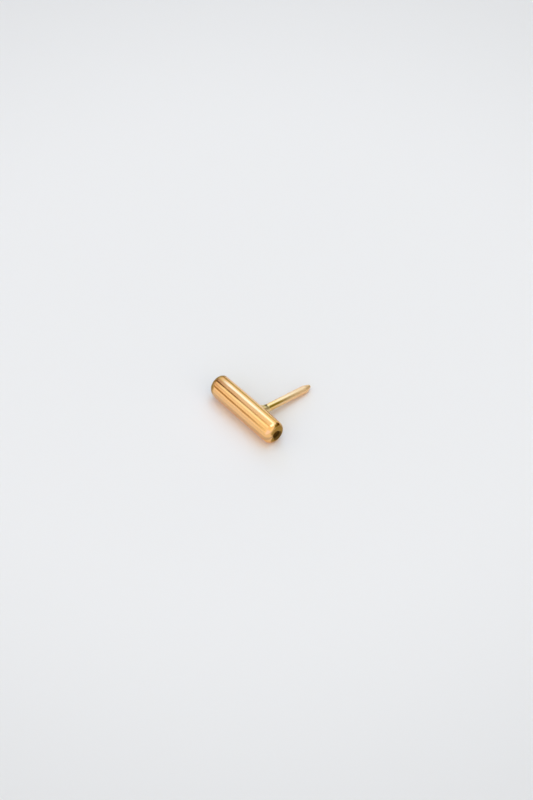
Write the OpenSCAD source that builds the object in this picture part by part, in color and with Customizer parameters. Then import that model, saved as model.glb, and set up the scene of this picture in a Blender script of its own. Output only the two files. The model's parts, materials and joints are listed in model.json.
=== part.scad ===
/* [Bar] */
// Length of the bar
bar_l = 7.75; // [6:0.05:12]
// Outer diameter of the bar
bar_d = 2.1; // [1.8:0.05:3]
// Diameter of the bore that runs through the bar
bore_d = 0.7; // [0.5:0.02:1.2]
// Radius of the rounded outer edge at each end of the bar
edge_r = 0.4; // [0.1:0.02:0.6]
// Radius of the small rounding where the bore opens at each end
mouth_r = 0.06; // [0.02:0.01:0.1]

/* [Pin] */
// Diameter of the pin that presses into the post
pin_d = 0.7; // [0.5:0.05:0.8]
// How far the tip of the pin stands out from the surface of the bar
pin_l = 5.4; // [4:0.05:7]
// Distance of the pin from the middle of the bar, along the bar
pin_x = 0.9; // [0:0.02:1.5]
// Length of the pin's tapered point
point_l = 0.6; // [0.4:0.05:1]
// Radius of the rounded tip of the pin
tip_r = 0.18; // [0.08:0.02:0.2]

/* [Solder] */
// Height of the solder above the surface of the bar
solder_h = 0.6; // [0.1:0.02:0.7]
// Width of the ring of solder round the foot of the pin
solder_w = 0.2; // [0.06:0.01:0.25]

/* [Hidden] */
$fn = 96;

bar_r = bar_d / 2;
bore_r = bore_d / 2;
wall = bar_r - bore_r;
outer_r = min(edge_r, wall - mouth_r);

pin_r = pin_d / 2;
// Distances along the pin are measured from the axis of the bar
tip_y = bar_r + pin_l;
shoulder_y = tip_y - point_l;
foot_y = bore_r + wall / 2;
nose_y = tip_y - tip_r;

// The stud lies on its bar and on the shoulder of the pin's point, which sets the slope of the pin
slope = asin(bar_r / norm([shoulder_y, pin_r])) - atan2(pin_r, shoulder_y);

// The origin is below the middle of the whole stud
reach_y = nose_y * cos(slope) + tip_r;
middle_y = (reach_y - bar_r) / 2;

// The cone of the point touches the round of the tip along this circle
cone_l = nose_y - shoulder_y;
point_angle = acos(tip_r / norm([cone_l, pin_r])) - atan2(cone_l, pin_r);
seam_r = tip_r * cos(point_angle);
seam_y = nose_y + tip_r * sin(point_angle);

// Quarter of a disc that rounds one corner of the wall, turned by a quarter turn at a time
module corner(radius, turn) {
    rotate(turn) intersection() {
        circle(radius);
        square(radius);
    }
}

// Section of one half of the wall, from the middle of the bar to one end
module half_wall() {
    half_l = bar_l / 2;
    translate([bore_r, 0]) square([wall, half_l - outer_r]);
    translate([bore_r + mouth_r, 0]) square([wall - mouth_r - outer_r, half_l]);
    translate([bore_r, 0]) square([mouth_r, half_l - mouth_r]);
    translate([bar_r - outer_r, half_l - outer_r]) corner(outer_r, 0);
    translate([bore_r + mouth_r, half_l - mouth_r]) corner(mouth_r, 90);
}

// Round bar with an open bore and rounded ends, along X
module bar() {
    rotate([0, 90, 0]) rotate_extrude() {
        half_wall();
        mirror([0, 1]) half_wall();
    }
}

// Straight pin with a tapered and rounded point, along Z from the axis of the bar
module pin() {
    translate([0, 0, foot_y]) cylinder(h = shoulder_y - foot_y, r = pin_r);
    translate([0, 0, shoulder_y]) cylinder(h = seam_y - shoulder_y, r1 = pin_r, r2 = seam_r);
    translate([0, 0, nose_y]) sphere(tip_r);
}

// Cone of solder round the foot of the pin
module solder() {
    depth = bar_r - foot_y;
    spread = solder_w * depth / solder_h;
    translate([0, 0, foot_y])
        cylinder(h = depth + solder_h, r1 = pin_r + solder_w + spread, r2 = pin_r);
}

module bar_stud() {
    color("goldenrod") translate([0, -middle_y, bar_r]) {
        bar();
        translate([pin_x, 0, 0]) rotate([-90 - slope, 0, 0]) {
            pin();
            solder();
        }
    }
}

bar_stud();
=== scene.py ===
"""Looks of a bar-shaped gold stud: a round open bar with a push pin soldered to its side, on a pale floor."""
import json
import math
from collections import namedtuple

import bmesh
import bpy
from mathutils import Matrix, Vector, noise


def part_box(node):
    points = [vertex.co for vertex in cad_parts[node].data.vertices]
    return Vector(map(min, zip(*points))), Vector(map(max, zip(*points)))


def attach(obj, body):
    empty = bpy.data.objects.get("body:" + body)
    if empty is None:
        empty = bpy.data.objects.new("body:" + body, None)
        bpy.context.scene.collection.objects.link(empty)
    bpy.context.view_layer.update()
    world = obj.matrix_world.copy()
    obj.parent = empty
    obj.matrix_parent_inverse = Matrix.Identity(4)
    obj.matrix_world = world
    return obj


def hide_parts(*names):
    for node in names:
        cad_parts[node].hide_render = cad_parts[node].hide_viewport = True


MM = 0.001

# A point of the bar: its place, its distance along the bar's axis, its offset across the axis, the way out of
# the bar, and how far that way faces level toward the camera's side
BarSpot = namedtuple("BarSpot", "place along across outward sideways")

# Sizes of the stud that the frame doesn't give, in metres. The pin's point leans to one side, counted round
# the pin from the bar's near end.
BORE_R = 0.35 * MM
POINT_L = 0.59 * MM
TIP_R = 0.18 * MM
SHOULDER_ROUNDING = 0.16 * MM
LEAN = 0.06 * MM
LEAN_SIDE = math.radians(-142)

# The rounding of each end: how long it is along the bar, how far it drops, the angle at which an edge cuts it
# short, and the rounding of the bore's mouth, in millimetres. The first size of a pair is on the pin's upper
# side, and the second on the opposite side. Sides of the bar are counted from +Y toward +Z.
NEAR_END = {"length": (0.48, 0.4), "drop": (0.44, 0.36), "cut": 0, "mouth": (0.05, 0.07)}
FAR_END = {"length": (0.26, 0.6), "drop": (0.11, 0.26), "cut": 40, "mouth": (0.06, 0.06)}
UPPER_SIDE = math.radians(31)
# How far the bore lies off the bar's axis and to which side, and the side of its near lip that a brown
# crescent stays off
BORE_SHIFT = 0.1 * MM
BORE_SIDE = math.radians(-20)
LIP_SIDE = math.radians(121)

# How much slimmer the bar is at each end than in the middle, and the depth and length of its polishing waves
NEAR_CROWN = 0.035 * MM
FAR_CROWN = 0.045 * MM
FAR_FALL = 0.02 * MM
WAVE = 0.003 * MM
WAVE_LENGTH = 2.6 * MM
WAVE_TURN = 2.2

# The solder's height on the pin and its width on the bar, how much it grows where it has run along the bar
# and climbed the pin, how deep it sits in the metal, how uneven it is, and how full its curve is
SOLDER_H = 0.56 * MM
SOLDER_W = 0.2 * MM
WEB_RUN = 0.16 * MM
WEB_SIDE = math.radians(-155)
CLIMB = 0.28 * MM
CLIMB_SIDE = math.radians(38)
SUNK = 0.06 * MM
BUMPS = 1.7
UNEVEN_H = 0.2
UNEVEN_W = 0.3
FULLNESS = 0.1
WEB_FULLNESS = 0.06
# The patch of painted shade on the solder at the pin's foot, in millimetres from the pin's start on the bar's
# axis, and the distances between which it fades
SOLDER_SHADE_PATCH = (-0.08, -0.4, 1.55)
SOLDER_SHADE_FADE = (0.16 * MM, 0.38 * MM)
SOLDER_SHADE_UNEVEN = 0.2 * MM

# Steps of the meshes, and the angle from which an edge is sharp
BAR_TURNS = 224
BAR_STEPS = 96
PIN_TURNS = 96
PIN_STEPS = 60
SOLDER_STEPS = 14
ARC_STEPS = 20
MOUTH_STEPS = 8
SHARP = math.radians(30)

# The camera's place: its height angle, its turn round the stud from the bar's axis, and its distance. The
# bar's middle is at one pixel of the picture.
CAMERA_RISE = math.radians(46.6)
CAMERA_TURN = math.radians(-40.0)
CAMERA_DISTANCE = 0.3
PIXELS_PER_MM = 11.73
IMAGE_W, IMAGE_H = 533, 800
BAR_PIXEL = (246.45, 409.27)
SENSOR_H = 36.0
CLIP_START = 0.01

# The room's even light, and the panels in it. Over is the angle over the bar, from its camera side (0)
# past the zenith (90) to its pin side (180). Along is the angle toward the bar's near end. A panel is as wide
# and as long as the angles say, with a soft edge. A later panel covers an earlier one.
ROOM = (1.0, 1.0, 1.0)
PANELS = (
    {"over": 140, "wide": 160, "along": -85, "long": 70, "soft": 14, "light": (0.3, 0.25, 0.08)},
    {"over": 15, "wide": 50, "along": -66, "long": 44, "soft": 12, "light": (1.15, 1.18, 1.5)},
    {"over": 20, "wide": 60, "along": 40, "long": 96, "soft": 16, "light": (1.04, 1.06, 1.5)},
    {"over": 75, "wide": 50, "along": 22, "long": 60, "soft": 16, "light": (1.06, 0.93, 0.74)},
    {"over": 75, "wide": 50, "along": 70, "long": 36, "soft": 16, "light": (1.3, 1.15, 0.95)},
    {"over": 36, "wide": 42, "along": -22, "long": 40, "soft": 8, "light": (1.0, 0.98, 0.88)},
    {"over": 47, "wide": 16, "along": -60, "long": 53, "soft": 4, "light": (0.8, 0.72, 0.74)},
    {"over": 21.5, "wide": 16, "along": -60, "long": 58.5, "soft": 6, "light": (0.32, 0.17, 0.0)},
    {"over": 65, "wide": 15, "along": -31, "long": 7, "soft": 5, "light": (1.16, 1.42, 1.34)},
    {"over": 103, "wide": 30, "along": -60, "long": 55, "soft": 3.5, "light": (0.56, 0.52, 0.58)},
    {"over": 80, "wide": 12, "along": -24, "long": 22, "soft": 6, "light": (0.95, 0.8, 0.6)},
    {"over": 80, "wide": 12, "along": -60, "long": 57, "soft": 5, "light": (0.1, 0.05, 0.0)},
    {"over": 177, "wide": 38, "along": -20, "long": 130, "soft": 16, "light": (0.8, 0.82, 0.5)},
    {"over": 177, "wide": 38, "along": -60, "long": 58, "soft": 8, "light": (0.42, 0.45, 0.2)},
    {"over": 165, "wide": 40, "along": -62, "long": 24, "soft": 8, "light": (0.95, 0.95, 0.85)},
    {"over": 149, "wide": 18, "along": -50, "long": 14, "soft": 4, "light": (1.2, 1.35, 1.7)},
    {"over": 160, "wide": 60, "along": 62, "long": 50, "soft": 20, "light": (0.65, 0.68, 0.7)},
    {"over": 129, "wide": 23, "along": -48, "long": 32, "soft": 5, "light": (1.15, 1.8, 3.7)},
    {"over": 128, "wide": 26, "along": -39.25, "long": 9, "soft": 2, "light": (0.88, 0.98, 0.6)},
    {"over": 129.5, "wide": 22, "along": -24, "long": 18, "soft": 5, "light": (1.2, 1.8, 2.4)},
    {"over": 130, "wide": 28, "along": -4, "long": 26, "soft": 10, "light": (1.1, 1.25, 1.6)},
    {"over": 102, "wide": 34, "along": -1, "long": 38, "soft": 10, "light": (1.5, 2.1, 2.9)},
    {"over": 166, "wide": 40, "along": 18, "long": 70, "soft": 14, "light": (0.1, 0.065, 0.005)},
    {"over": 139, "wide": 27, "along": 32, "long": 46, "soft": 12, "light": (0.24, 0.24, 0.01)},
)

# The floor's colour round the stud, its painted shade toward the picture's edges, the distances between which
# it changes, and how far beyond the stud its middle lies
FLOOR_COLOUR = (0.884, 0.831, 0.752)
FLOOR_FALLOFF_SHADE = (0.715, 0.674, 0.609)
FLOOR_SPREAD = (25 * MM, 80 * MM)
FLOOR_SHIFT = 8 * MM
FLOOR_HALF = 1.5
FLOOR_ROUGHNESS = 0.6

# Colours of the metal, from polished to unpolished, some of them painted light and shade, and of the bore,
# the pin and the solder
GOLD = (0.98, 0.57, 0.245)
PALE_GOLD = (0.97, 0.59, 0.28)
# A warmer gold toward the near end: a painted tint of the light, for the highlight turning yellower there
NEAR_LIGHT_TINT_GOLD = (0.99, 0.575, 0.225)
# Painted shade: a darker, yellower gold that dims the highlight on the far end's upper side
FAR_HIGHLIGHT_SHADE_GOLD = (0.78, 0.4, 0.155)
# A darker gold low on the bar's side
LOW_SIDE_DARKER_GOLD = (0.7, 0.42, 0.2)
RAW_AND_RIM_SHADE_GOLD = (0.4, 0.22, 0.034)
# The bore's painted colours: dark painted shade at the mouth, lighter deeper in as painted reflected light
MOUTH_SHADE_BROWN = (0.14, 0.075, 0.01)
DEEP_BORE_LIGHT_BROWN = (0.5, 0.26, 0.04)
# Painted shade: the pin is darker toward its foot, beside the bar and the solder
PIN_FOOT_SHADE_GOLD = (0.89, 0.58, 0.23)
PIN_TIP_GOLD = (0.96, 0.65, 0.35)
# Painted shade: the dark patch on the solder at the pin's foot
SOLDER_SHADE = (0.24, 0.155, 0.055)
SOLDER_GREY = (0.88, 0.66, 0.34)

# The unpolished metal of the ends: the radii between which it starts, how far these shift toward the pin,
# with the flecks and on the low side, and where the low side begins and is full
RAW_EDGE = (0.97 * MM, 0.66 * MM)
RAW_TOWARD_PIN = 0.17 * MM
RAW_FLECKS = 0.15 * MM
RAW_LOW = 0.26 * MM
RAW_LOW_SIDE = (0.75, 1.0)
# Painted shade on the far end's rim, in the unpolished metal's colour: where it starts and is full, from the
# end, and how much wider it is low down
FAR_RIM_SHADE = (0.45 * MM, 0.18 * MM)
FAR_RIM_SHADE_LOW = 0.2 * MM
FAR_RIM_SHADE_LOW_SIDE = (0.6, 0.9)
# The brown of the bore: the softness of its edge and of the lip's, how far the lip's brown reaches, and the
# depths between which it lightens from painted shade at the mouth to painted reflected light deeper in
BORE_EDGE = 0.02 * MM
LIP_EDGE = 0.05 * MM
LIP_REACH = 0.3 * MM
BORE_SHADE_TO_LIGHT_DEPTH = (0.1 * MM, 0.5 * MM)
# Where the polished gold is cloudy, warmer along the bar as a painted tint of the light, darker at the far
# end's top as painted shade over the highlight, and darker low on its side
CLOUD_EDGE = (0.35, 0.65)
NEAR_LIGHT_TINT_REACH = (0.1, 0.9)
FAR_HIGHLIGHT_SHADE_REACH = (1.7 * MM, 0.1 * MM)
FAR_HIGHLIGHT_SHADE_SIDE = (0.9, 0.5)
LOW_SIDE_DARKENING = (0.965, 0.998)

# Grain of the metal, in waves per millimetre along each axis
FLECK_GRAIN = (2.2, 5.0, 5.0)
CLOUD_GRAIN = (0.25, 0.6, 0.6)
BAR_STREAKS = (0.35, 5.0, 5.0)
PIN_STREAKS = (18.0, 0.7, 18.0)
SOLDER_GRAIN = (6.0, 6.0, 6.0)
STREAK_EDGE = (0.3, 0.7)

# How rough and how uneven each finish is. The first roughness of the solder is that of its patch of painted
# shade.
BAR_ROUGHNESS = (0.1, 0.18)
RAW_DULLING = 0.25
BORE_DULLING = 0.2
BORE_METALLIC = 0.35
BORE_SPECULAR = 0.1
BAR_RELIEF = 0.0045 * MM
PIN_ROUGHNESS = (0.06, 0.5)
PIN_DULLING = 0.08
PIN_RELIEF = 0.001 * MM
SOLDER_ROUGHNESS = (0.45, 0.33)
SOLDER_RELIEF = 0.012 * MM
# The shares of the pin's length between which its colour lightens out of the painted shade at its foot, and
# between which its roughness changes
PIN_PALER = (0.15, 0.6)
PIN_DULLER = (0.05, 1.0)


def material(name):
    """A node material, with its tree and its shader."""
    new = bpy.data.materials.new(name)
    new.use_nodes = True
    tree = new.node_tree
    return new, tree, tree.nodes["Principled BSDF"]


def node(tree, kind, **settings):
    """Adds a node and sets its properties."""
    new = tree.nodes.new(kind)
    for key, value in settings.items():
        setattr(new, key, value)
    return new


def feed(tree, socket, value):
    """Links a socket to the value, or sets it where the value is a number or a list of numbers."""
    if isinstance(value, (int, float, tuple)):
        socket.default_value = value
    else:
        tree.links.new(value, socket)


def math_node(tree, operation, *values):
    """A Math node whose inputs are sockets or numbers, and its result."""
    new = node(tree, "ShaderNodeMath", operation=operation)
    for socket, value in zip(new.inputs, values):
        feed(tree, socket, value)
    return new.outputs[0]


def vector_node(tree, operation, *values):
    """A Vector Math node whose inputs are sockets or triples."""
    new = node(tree, "ShaderNodeVectorMath", operation=operation)
    for socket, value in zip(new.inputs, values):
        feed(tree, socket, value)
    return new


def ramp(tree, value, start, end, low=0.0, high=1.0):
    """Runs smoothly from low to high while the value runs from start to end."""
    new = node(tree, "ShaderNodeMapRange", interpolation_type="SMOOTHSTEP")
    names = ("Value", "From Min", "From Max", "To Min", "To Max")
    for name, setting in zip(names, (value, start, end, low, high)):
        feed(tree, new.inputs[name], setting)
    return new.outputs["Result"]


def mix_colour(tree, share, first, second):
    """Blends two colours by the share."""
    new = node(tree, "ShaderNodeMix", data_type="RGBA")
    feed(tree, new.inputs["Factor"], share)
    for socket, colour in zip(new.inputs[6:8], (first, second)):
        feed(tree, socket, (*colour, 1.0) if isinstance(colour, tuple) else colour)
    return new.outputs[2]


def grain(tree, place, scale, detail=2.0):
    """Noise whose scale along each axis is given in waves per millimetre."""
    stretched = vector_node(tree, "MULTIPLY", place, tuple(s / MM for s in scale)).outputs["Vector"]
    new = node(tree, "ShaderNodeTexNoise")
    feed(tree, new.inputs["Vector"], stretched)
    feed(tree, new.inputs["Scale"], 1.0)
    feed(tree, new.inputs["Detail"], detail)
    return new.outputs["Fac"]


def relief(tree, shader, height, depth):
    """Raises the surface by the height times the depth, in metres."""
    bump = node(tree, "ShaderNodeBump")
    feed(tree, bump.inputs["Height"], height)
    feed(tree, bump.inputs["Distance"], depth)
    tree.links.new(bump.outputs["Normal"], shader.inputs["Normal"])


def round_axis(angle):
    """The direction across the bar at an angle from +Y toward +Z."""
    return Vector((0, math.cos(angle), math.sin(angle)))


def bar_spot(tree, centre):
    """Where a point of the bar lies, and the way out of the bar there."""
    place = node(tree, "ShaderNodeTexCoord").outputs["Object"]
    offset = vector_node(tree, "SUBTRACT", place, tuple(centre)).outputs["Vector"]
    along = vector_node(tree, "DOT_PRODUCT", offset, (1.0, 0.0, 0.0)).outputs["Value"]
    across = vector_node(tree, "MULTIPLY", offset, (0.0, 1.0, 1.0)).outputs["Vector"]
    outward = vector_node(tree, "NORMALIZE", across).outputs["Vector"]
    return BarSpot(place, along, across, outward, facing(tree, outward, (0.0, -1.0, 0.0)))


def facing(tree, outward, side):
    """How far the way out of the bar faces a side, from -1 to 1."""
    return vector_node(tree, "DOT_PRODUCT", outward, tuple(side)).outputs["Value"]


def raw_and_rim_shade_share(tree, spot, half_l, pin_side):
    """How unpolished the metal is: fully inside a mottled edge on each end; and painted shade on the far
    end's rim, wider low down.
    """
    radius = vector_node(tree, "LENGTH", spot.across).outputs["Value"]
    flecks = math_node(tree, "SUBTRACT", grain(tree, spot.place, FLECK_GRAIN), 0.5)
    edge = math_node(tree, "MULTIPLY_ADD", facing(tree, spot.outward, pin_side), -RAW_TOWARD_PIN, radius)
    edge = math_node(tree, "MULTIPLY_ADD", flecks, RAW_FLECKS, edge)
    edge = math_node(tree, "MULTIPLY_ADD", ramp(tree, spot.sideways, *RAW_LOW_SIDE), RAW_LOW, edge)
    # Painted shade: the far end's rim takes the unpolished colour, wider low down where it faces the shaded
    # floor
    rim = math_node(tree, "MULTIPLY_ADD", ramp(tree, spot.sideways, *FAR_RIM_SHADE_LOW_SIDE), -FAR_RIM_SHADE_LOW, spot.along)
    far_rim_shade = ramp(tree, rim, FAR_RIM_SHADE[0] - half_l, FAR_RIM_SHADE[1] - half_l)
    return math_node(tree, "MAXIMUM", ramp(tree, edge, *RAW_EDGE), far_rim_shade)


def bore_share(tree, spot, half_l):
    """One in the bore and in a brown crescent over one side of its near lip, and zero outside."""
    middle = round_axis(BORE_SIDE) * BORE_SHIFT
    from_bore = vector_node(tree, "DISTANCE", spot.across, tuple(middle)).outputs["Value"]
    toward_lip = facing(tree, spot.outward, round_axis(LIP_SIDE))
    near_lip = math_node(tree, "MULTIPLY", toward_lip, ramp(tree, spot.along, 0.0, 0.5 * half_l))
    lip = math_node(tree, "MULTIPLY_ADD", near_lip, LIP_REACH, from_bore)
    bore = ramp(tree, from_bore, BORE_R + BORE_EDGE, BORE_R)
    return math_node(tree, "MAXIMUM", bore, ramp(tree, lip, BORE_R + LIP_EDGE, BORE_R - LIP_EDGE))


def clean_gold(tree, spot, half_l):
    """Polished gold: cloudy, warmer toward the near end as a painted tint of the light, darker at the far
    end's top as painted shade over the highlight, and darker low on its side.
    """
    cloud = ramp(tree, grain(tree, spot.place, CLOUD_GRAIN), *CLOUD_EDGE)
    colour = mix_colour(tree, cloud, GOLD, PALE_GOLD)
    # Painted light tint: the gold is warmer toward the near end
    near_light_tint = ramp(tree, spot.along, NEAR_LIGHT_TINT_REACH[0] * half_l, NEAR_LIGHT_TINT_REACH[1] * half_l)
    colour = mix_colour(tree, near_light_tint, colour, NEAR_LIGHT_TINT_GOLD)
    # Painted shade over the highlight at the far end's upper side
    far_highlight_shade_end = ramp(tree, spot.along, FAR_HIGHLIGHT_SHADE_REACH[0] - half_l, FAR_HIGHLIGHT_SHADE_REACH[1] - half_l)
    far_highlight_shade = math_node(tree, "MULTIPLY", far_highlight_shade_end, ramp(tree, spot.sideways, *FAR_HIGHLIGHT_SHADE_SIDE))
    colour = mix_colour(tree, far_highlight_shade, colour, FAR_HIGHLIGHT_SHADE_GOLD)
    return mix_colour(tree, ramp(tree, spot.sideways, *LOW_SIDE_DARKENING), colour, LOW_SIDE_DARKER_GOLD)


def bar_gold(centre, half_l, pin_side):
    """Polished gold with fine lengthwise lines, unpolished at the ends with painted shade on the far end's
    rim, and brown in the bore as painted shade at the mouth and painted reflected light deeper in.
    """
    finish, tree, shader = material("bar_gold")
    spot = bar_spot(tree, centre)
    raw_and_rim_shade = raw_and_rim_shade_share(tree, spot, half_l, pin_side)
    inside = bore_share(tree, spot, half_l)
    worn = mix_colour(tree, raw_and_rim_shade, clean_gold(tree, spot, half_l), RAW_AND_RIM_SHADE_GOLD)
    # Painted shade at the bore's mouth, lightening deeper in as painted reflected light; the crescent on the
    # near lip takes the mouth's dark brown
    depth = math_node(tree, "SUBTRACT", half_l, math_node(tree, "ABSOLUTE", spot.along))
    brown = mix_colour(tree, ramp(tree, depth, *BORE_SHADE_TO_LIGHT_DEPTH), MOUTH_SHADE_BROWN, DEEP_BORE_LIGHT_BROWN)
    feed(tree, shader.inputs["Base Color"], mix_colour(tree, inside, worn, brown))
    feed(tree, shader.inputs["Metallic"], ramp(tree, inside, 0.0, 1.0, 1.0, BORE_METALLIC))
    feed(tree, shader.inputs["Specular IOR Level"], ramp(tree, inside, 0.0, 1.0, 0.5, BORE_SPECULAR))
    streaks = grain(tree, spot.place, BAR_STREAKS, 3.0)
    shine = ramp(tree, streaks, *STREAK_EDGE, *BAR_ROUGHNESS)
    dull = math_node(tree, "MULTIPLY_ADD", raw_and_rim_shade, RAW_DULLING, shine)
    feed(tree, shader.inputs["Roughness"], math_node(tree, "MULTIPLY_ADD", inside, BORE_DULLING, dull))
    relief(tree, shader, streaks, BAR_RELIEF)
    return finish


def pin_gold(foot, axis, length):
    """Drawn gold wire with fine lengthwise lines, paler and duller toward the point, with painted shade
    darkening it toward its foot.
    """
    finish, tree, shader = material("pin_gold")
    shader.inputs["Metallic"].default_value = 1.0
    place = node(tree, "ShaderNodeTexCoord").outputs["Object"]
    offset = vector_node(tree, "SUBTRACT", place, tuple(foot)).outputs["Vector"]
    reach = vector_node(tree, "DOT_PRODUCT", offset, tuple(axis)).outputs["Value"]
    # Painted shade darkens the pin toward its foot
    outer = ramp(tree, reach, PIN_PALER[0] * length, PIN_PALER[1] * length)
    feed(tree, shader.inputs["Base Color"], mix_colour(tree, outer, PIN_FOOT_SHADE_GOLD, PIN_TIP_GOLD))
    streaks = grain(tree, place, PIN_STREAKS, 3.0)
    drawn = ramp(tree, reach, PIN_DULLER[0] * length, PIN_DULLER[1] * length, *PIN_ROUGHNESS)
    feed(tree, shader.inputs["Roughness"], math_node(tree, "MULTIPLY_ADD", streaks, PIN_DULLING, drawn))
    relief(tree, shader, streaks, PIN_RELIEF)
    return finish


def solder_gold(patch):
    """Greyish gold solder with a dull, uneven surface and a dark patch of painted shade at the pin's foot."""
    finish, tree, shader = material("solder_gold")
    shader.inputs["Metallic"].default_value = 1.0
    place = node(tree, "ShaderNodeTexCoord").outputs["Object"]
    # Painted shade: the solder darkens in a patch at the pin's foot
    away = vector_node(tree, "DISTANCE", place, tuple(patch)).outputs["Value"]
    uneven = math_node(tree, "SUBTRACT", grain(tree, place, SOLDER_GRAIN, 3.0), 0.5)
    unshaded = ramp(tree, math_node(tree, "MULTIPLY_ADD", uneven, SOLDER_SHADE_UNEVEN, away), *SOLDER_SHADE_FADE)
    feed(tree, shader.inputs["Base Color"], mix_colour(tree, unshaded, SOLDER_SHADE, SOLDER_GREY))
    feed(tree, shader.inputs["Roughness"], ramp(tree, unshaded, 0.0, 1.0, *SOLDER_ROUGHNESS))
    relief(tree, shader, uneven, SOLDER_RELIEF)
    return finish


def mesh_object(name, points, faces, finish, place):
    """A smooth closed mesh with one material, moved to its place in the row frame."""
    data = bpy.data.meshes.new(name)
    data.from_pydata(points, [], faces)
    data.transform(place)
    shape = bmesh.new()
    shape.from_mesh(data)
    bmesh.ops.recalc_face_normals(shape, faces=shape.faces)
    for face in shape.faces:
        face.smooth = True
    for edge in shape.edges:
        edge.smooth = edge.calc_face_angle(0) < SHARP
    shape.to_mesh(data)
    shape.free()
    data.materials.append(finish)
    new = bpy.data.objects.new(name, data)
    bpy.context.scene.collection.objects.link(new)
    return new


def grid_faces(rings, turns, closed):
    """Quads between rings of points. An open stack of rings gets a cap at each end."""
    faces = []
    for ring in range(rings if closed else rings - 1):
        following = (ring + 1) % rings
        for i in range(turns):
            j = (i + 1) % turns
            faces.append((ring * turns + i, ring * turns + j, following * turns + j, following * turns + i))
    if not closed:
        faces.append(tuple(range(turns)))
        faces.append(tuple(range((rings - 1) * turns, rings * turns)))
    return faces


def turned(profiles, closed):
    """Points and faces round Z, from one profile of (along, radius) points for each step of the turn."""
    turns, rings = len(profiles), len(profiles[0])
    points = []
    for ring in range(rings):
        for i in range(turns):
            angle = 2 * math.pi * i / turns
            along, radius = profiles[i][ring]
            points.append((radius * math.cos(angle), radius * math.sin(angle), along))
    return points, grid_faces(rings, turns, closed)


def arc(centre, reach, start, end, steps):
    """Points along an elliptical arc in the (along, radius) plane, with angles in degrees."""
    angles = [math.radians(start + (end - start) * i / steps) for i in range(steps + 1)]
    return [(centre[0] + reach[0] * math.cos(a), centre[1] + reach[1] * math.sin(a)) for a in angles]


def between(start, end, steps):
    """The points strictly between two points, evenly spaced."""
    return [(start[0] + (end[0] - start[0]) * i / steps, start[1] + (end[1] - start[1]) * i / steps)
            for i in range(1, steps)]


def bend(start, corner, end, steps):
    """Points along a smooth curve that leaves the start toward the corner and reaches the end from it."""
    points = []
    for i in range(steps + 1):
        t = i / steps
        points.append(tuple((1 - t) ** 2 * a + 2 * t * (1 - t) * b + t ** 2 * c
                            for a, b, c in zip(start, corner, end)))
    return points


def half_wall(end, half_l, bar_r, angle):
    """One end's share of the bar's section, from the outside round the lip into the bore."""
    opposite = (1 - math.cos(angle - UPPER_SIDE)) / 2
    length, drop, mouth = [
        (first + (second - first) * opposite) * MM
        for first, second in (end["length"], end["drop"], end["mouth"])]
    cut = math.radians(end["cut"])
    reach = (length / math.cos(cut), drop / (1 - math.sin(cut)))
    outer = arc((half_l - length, bar_r - reach[1]), reach, 90, end["cut"], ARC_STEPS)
    inner = arc((half_l - mouth, BORE_R + mouth), (mouth, mouth), 0, -90, MOUTH_STEPS)
    return outer + inner


def shaped(along, radius, angle, half_l, bar_r):
    """Slims the outside toward the ends and gives it the slight waves of hand polishing, always inward."""
    outside = (radius - BORE_R) / (bar_r - BORE_R)
    reach = along / half_l
    crown = NEAR_CROWN * reach ** 4 if along > 0 else FAR_CROWN * reach ** 2 + FAR_FALL * reach ** 8
    spot = Vector((along / WAVE_LENGTH, WAVE_TURN * math.cos(angle), WAVE_TURN * math.sin(angle)))
    wave = WAVE * (0.5 - noise.noise(spot) / 2)
    return along, radius - outside * (crown + wave)


def bar_profile(angle, half_l, bar_r):
    """The closed section of the bar's wall at one angle round it."""
    right = half_wall(NEAR_END, half_l, bar_r, angle)
    left = [(-along, radius) for along, radius in reversed(half_wall(FAR_END, half_l, bar_r, angle))]
    outer = between(left[-1], right[0], BAR_STEPS)
    inner = between(right[-1], left[0], BAR_STEPS)
    return [shaped(along, radius, angle, half_l, bar_r) for along, radius in outer + right + inner + left]


def off_axis(point, bar_r):
    """Moves the wall's inside off the bar's axis and leaves its outside in place."""
    inside = min(1.0, (bar_r - math.hypot(point[0], point[1])) / (bar_r - BORE_R))
    shift = BORE_SHIFT * inside
    return point[0] + shift * math.cos(BORE_SIDE), point[1] + shift * math.sin(BORE_SIDE), point[2]


def make_bar(half_l, bar_r, centre, finish):
    """Lays the bar's turning axis along X, with its angles counted from +Y toward +Z."""
    profiles = [bar_profile(2 * math.pi * i / BAR_TURNS, half_l, bar_r) for i in range(BAR_TURNS)]
    points, faces = turned(profiles, closed=True)
    points = [off_axis(point, bar_r) for point in points]
    place = Matrix.Translation(centre) @ Matrix(((0, 0, 1), (1, 0, 0), (0, 1, 0))).to_4x4()
    return mesh_object("bar", points, faces, finish, place)


def pin_profile(foot, shoulder, tip, pin_r):
    """The pin's outline from its foot over a softened shoulder to its rounded tip."""
    nose = tip - TIP_R
    reach = nose - shoulder
    lean = math.acos(TIP_R / math.hypot(reach, pin_r)) - math.atan2(reach, pin_r)
    end = arc((nose, 0), (TIP_R, TIP_R), 90 - math.degrees(lean), 3, ARC_STEPS)
    start = (shoulder - SHOULDER_ROUNDING, pin_r)
    slope = Vector((end[0][0] - shoulder, end[0][1] - pin_r)).normalized() * SHOULDER_ROUNDING
    rounding = bend(start, (shoulder, pin_r), (shoulder + slope.x, pin_r + slope.y), ARC_STEPS)
    return [(foot, pin_r)] + between((foot, pin_r), start, PIN_STEPS) + rounding + end


def leaning(point, shoulder, tip):
    """Moves the pin's point a little to one side, more toward the tip."""
    shift = LEAN * max(0.0, (point[2] - shoulder) / (tip - shoulder)) ** 2
    return point[0] + shift * math.cos(LEAN_SIDE), point[1] + shift * math.sin(LEAN_SIDE), point[2]


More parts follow.
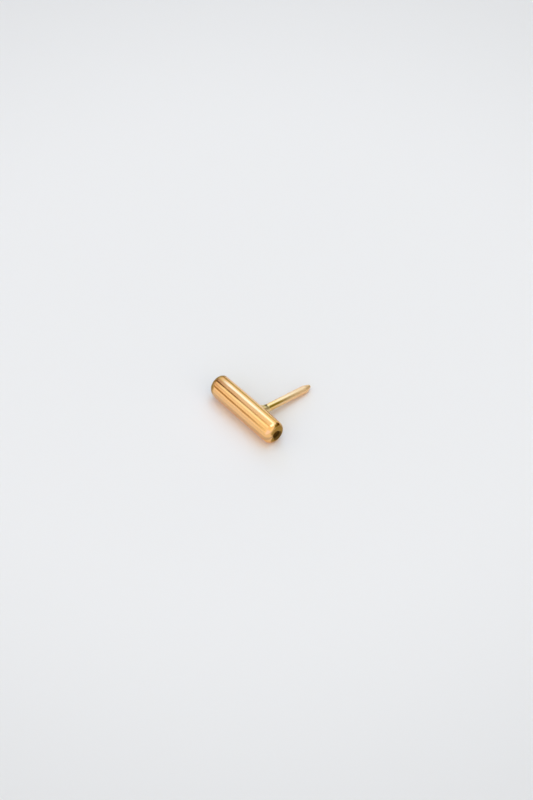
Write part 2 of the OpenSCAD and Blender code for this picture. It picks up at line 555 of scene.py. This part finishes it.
def make_pin(place, foot, shoulder, tip, pin_r, finish):
    """Turns the pin's outline round its axis and sets it on the bar."""
    profile = pin_profile(foot, shoulder, tip, pin_r)
    points, faces = turned([profile] * PIN_TURNS, closed=False)
    points = [leaning(point, shoulder, tip) for point in points]
    return mesh_object("push_pin", points, faces, finish, place)


def solder_profile(angle, bar_r, pin_r):
    """A closed section of the solder at one angle round the pin. Its hidden side lies inside the metal."""
    uneven = noise.noise(Vector((BUMPS * math.cos(angle), BUMPS * math.sin(angle), 0)))
    web = max(0.0, math.cos(angle - WEB_SIDE)) ** 4
    climb = max(0.0, math.cos(angle - CLIMB_SIDE)) ** 2
    height = SOLDER_H * (1 + UNEVEN_H * uneven) + CLIMB * climb
    width = SOLDER_W * (1 + UNEVEN_W * uneven) + WEB_RUN * web
    fullness = FULLNESS + WEB_FULLNESS * web
    section = []
    for rise, spread in bend((height, 0), (height * fullness, width * fullness), (0, width), SOLDER_STEPS):
        radius = pin_r + spread
        ground = math.sqrt(bar_r ** 2 - (radius * math.sin(angle)) ** 2)
        section.append((ground + rise - 0.1 * SUNK, radius))
    top, rim = section[0], section[-1]
    hidden = [(rim[0] - SUNK, rim[1]), (top[0] - height - 2 * SUNK, pin_r - SUNK), (top[0], pin_r - SUNK)]
    return section + hidden


def make_solder(place, bar_r, pin_r, finish):
    """Turns the solder's sections round the pin's axis."""
    profiles = [solder_profile(2 * math.pi * i / PIN_TURNS, bar_r, pin_r) for i in range(PIN_TURNS)]
    points, faces = turned(profiles, closed=True)
    return mesh_object("solder_joint", points, faces, finish, place)


def make_floor(middle):
    """A wide pale surface, made a little darker far from the stud by painted shade."""
    finish, tree, shader = material("pale_floor")
    shader.inputs["Roughness"].default_value = FLOOR_ROUGHNESS
    place = node(tree, "ShaderNodeTexCoord").outputs["Object"]
    away = vector_node(tree, "DISTANCE", place, tuple(middle)).outputs["Value"]
    # Painted shade: the floor darkens away from the stud
    feed(tree, shader.inputs["Base Color"],
         mix_colour(tree, ramp(tree, away, *FLOOR_SPREAD), FLOOR_COLOUR, FLOOR_FALLOFF_SHADE))
    corners = [(x * FLOOR_HALF, y * FLOOR_HALF, 0) for x, y in ((-1, -1), (1, -1), (1, 1), (-1, 1))]
    data = bpy.data.meshes.new("floor")
    data.from_pydata(corners, [], [(0, 1, 2, 3)])
    data.materials.append(finish)
    floor = bpy.data.objects.new("floor", data)
    bpy.context.scene.collection.objects.link(floor)


def make_camera(centre):
    """Looks down at the bar from the photograph's angle, with the bar left of and below the middle."""
    forward = -Vector((
        math.cos(CAMERA_TURN) * math.cos(CAMERA_RISE),
        math.sin(CAMERA_TURN) * math.cos(CAMERA_RISE),
        math.sin(CAMERA_RISE),
    ))
    right = forward.cross(Vector((0, 0, 1))).normalized()
    above = right.cross(forward)
    scale = PIXELS_PER_MM / MM
    offset = right * (IMAGE_W / 2 - BAR_PIXEL[0]) + above * (BAR_PIXEL[1] - IMAGE_H / 2)
    data = bpy.data.cameras.new("camera")
    data.sensor_fit = "VERTICAL"
    data.sensor_height = SENSOR_H
    data.lens = scale * CAMERA_DISTANCE * SENSOR_H / IMAGE_H
    data.clip_start = CLIP_START
    camera = bpy.data.objects.new("camera", data)
    camera.matrix_world = Matrix.Translation(centre + offset / scale - forward * CAMERA_DISTANCE) @ Matrix(
        (right, above, -forward)).transposed().to_4x4()
    bpy.context.scene.collection.objects.link(camera)
    bpy.context.scene.camera = camera


def panel_share(tree, over, along, panel):
    """One inside the panel, falling softly to zero round its edge."""
    offset = math_node(tree, "SUBTRACT", over, math.radians(panel["over"]))
    across = math_node(tree, "ABSOLUTE", math_node(tree, "WRAP", offset, math.pi, -math.pi))
    away = math_node(tree, "ABSOLUTE", math_node(tree, "SUBTRACT", along, math.radians(panel["along"])))
    shares = []
    for distance, size in ((across, panel["wide"]), (away, panel["long"])):
        outer = math.radians((size + panel["soft"]) / 2)
        inner = math.radians((size - panel["soft"]) / 2)
        shares.append(ramp(tree, distance, outer, inner))
    return math_node(tree, "MULTIPLY", *shares)


def make_world():
    """Soft studio surroundings: an even pale room with brighter and darker panels in it."""
    world = bpy.data.worlds.new("studio")
    world.use_nodes = True
    tree = world.node_tree
    direction = node(tree, "ShaderNodeTexCoord").outputs["Generated"]
    parts = node(tree, "ShaderNodeSeparateXYZ")
    tree.links.new(direction, parts.inputs[0])
    along = math_node(tree, "ARCSINE", parts.outputs["X"])
    over = math_node(tree, "ARCTAN2", parts.outputs["Z"], math_node(tree, "MULTIPLY", parts.outputs["Y"], -1))
    colour = ROOM
    for panel in PANELS:
        colour = mix_colour(tree, panel_share(tree, over, along, panel), colour, panel["light"])
    tree.links.new(colour, tree.nodes["Background"].inputs["Color"])
    bpy.context.scene.world = world


# The frame, and the sizes and places that it gives
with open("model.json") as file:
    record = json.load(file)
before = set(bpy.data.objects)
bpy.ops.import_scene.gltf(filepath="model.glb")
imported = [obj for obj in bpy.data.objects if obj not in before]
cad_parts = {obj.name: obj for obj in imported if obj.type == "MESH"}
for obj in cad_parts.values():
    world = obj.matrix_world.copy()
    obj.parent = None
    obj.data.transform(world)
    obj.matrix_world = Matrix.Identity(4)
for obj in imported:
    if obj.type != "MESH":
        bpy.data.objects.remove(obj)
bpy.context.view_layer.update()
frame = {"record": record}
low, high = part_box("bar_stud")
mount = frame["record"]["mounts"][0]
bar_r = (high.z - low.z) / 2
half_l = (high.x - low.x) / 2
pin_r = mount["dims"]["r_mm"] * MM
pin_axis = Vector(mount["axis"]).normalized()
bar_axis = Vector((1, 0, 0))
bar_centre = Vector((0, low.y + bar_r, bar_r))
pin_mid = (Vector(mount["pos_m"]) - bar_centre).dot(pin_axis)
shoulder = pin_mid + mount["dims"]["length_mm"] * MM / 2
foot = (bar_r + BORE_R) / 2
pin_start = Vector((mount["pos_m"][0], bar_centre.y, bar_centre.z))
pin_foot = pin_start + pin_axis * bar_r
pin_place = Matrix.Translation(pin_start) @ Matrix(
    (bar_axis, pin_axis.cross(bar_axis), pin_axis)).transposed().to_4x4()
patch = pin_place @ (Vector(SOLDER_SHADE_PATCH) * MM)
beyond = Vector((-math.cos(CAMERA_TURN), -math.sin(CAMERA_TURN), 0))

bar_finish = bar_gold(bar_centre, half_l, pin_axis)
pin_finish = pin_gold(pin_foot, pin_axis, shoulder - bar_r)
pieces = (
    make_bar(half_l, bar_r, bar_centre, bar_finish),
    make_pin(pin_place, foot, shoulder, shoulder + POINT_L, pin_r, pin_finish),
    make_solder(pin_place, bar_r, pin_r, solder_gold(patch)),
)
for piece in pieces:
    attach(piece, "root")
    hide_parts("bar_stud")

make_floor(Vector((bar_centre.x, bar_centre.y, 0)) + beyond * FLOOR_SHIFT)
make_camera(bar_centre)
make_world()
bpy.context.scene.view_settings.view_transform = "Standard"
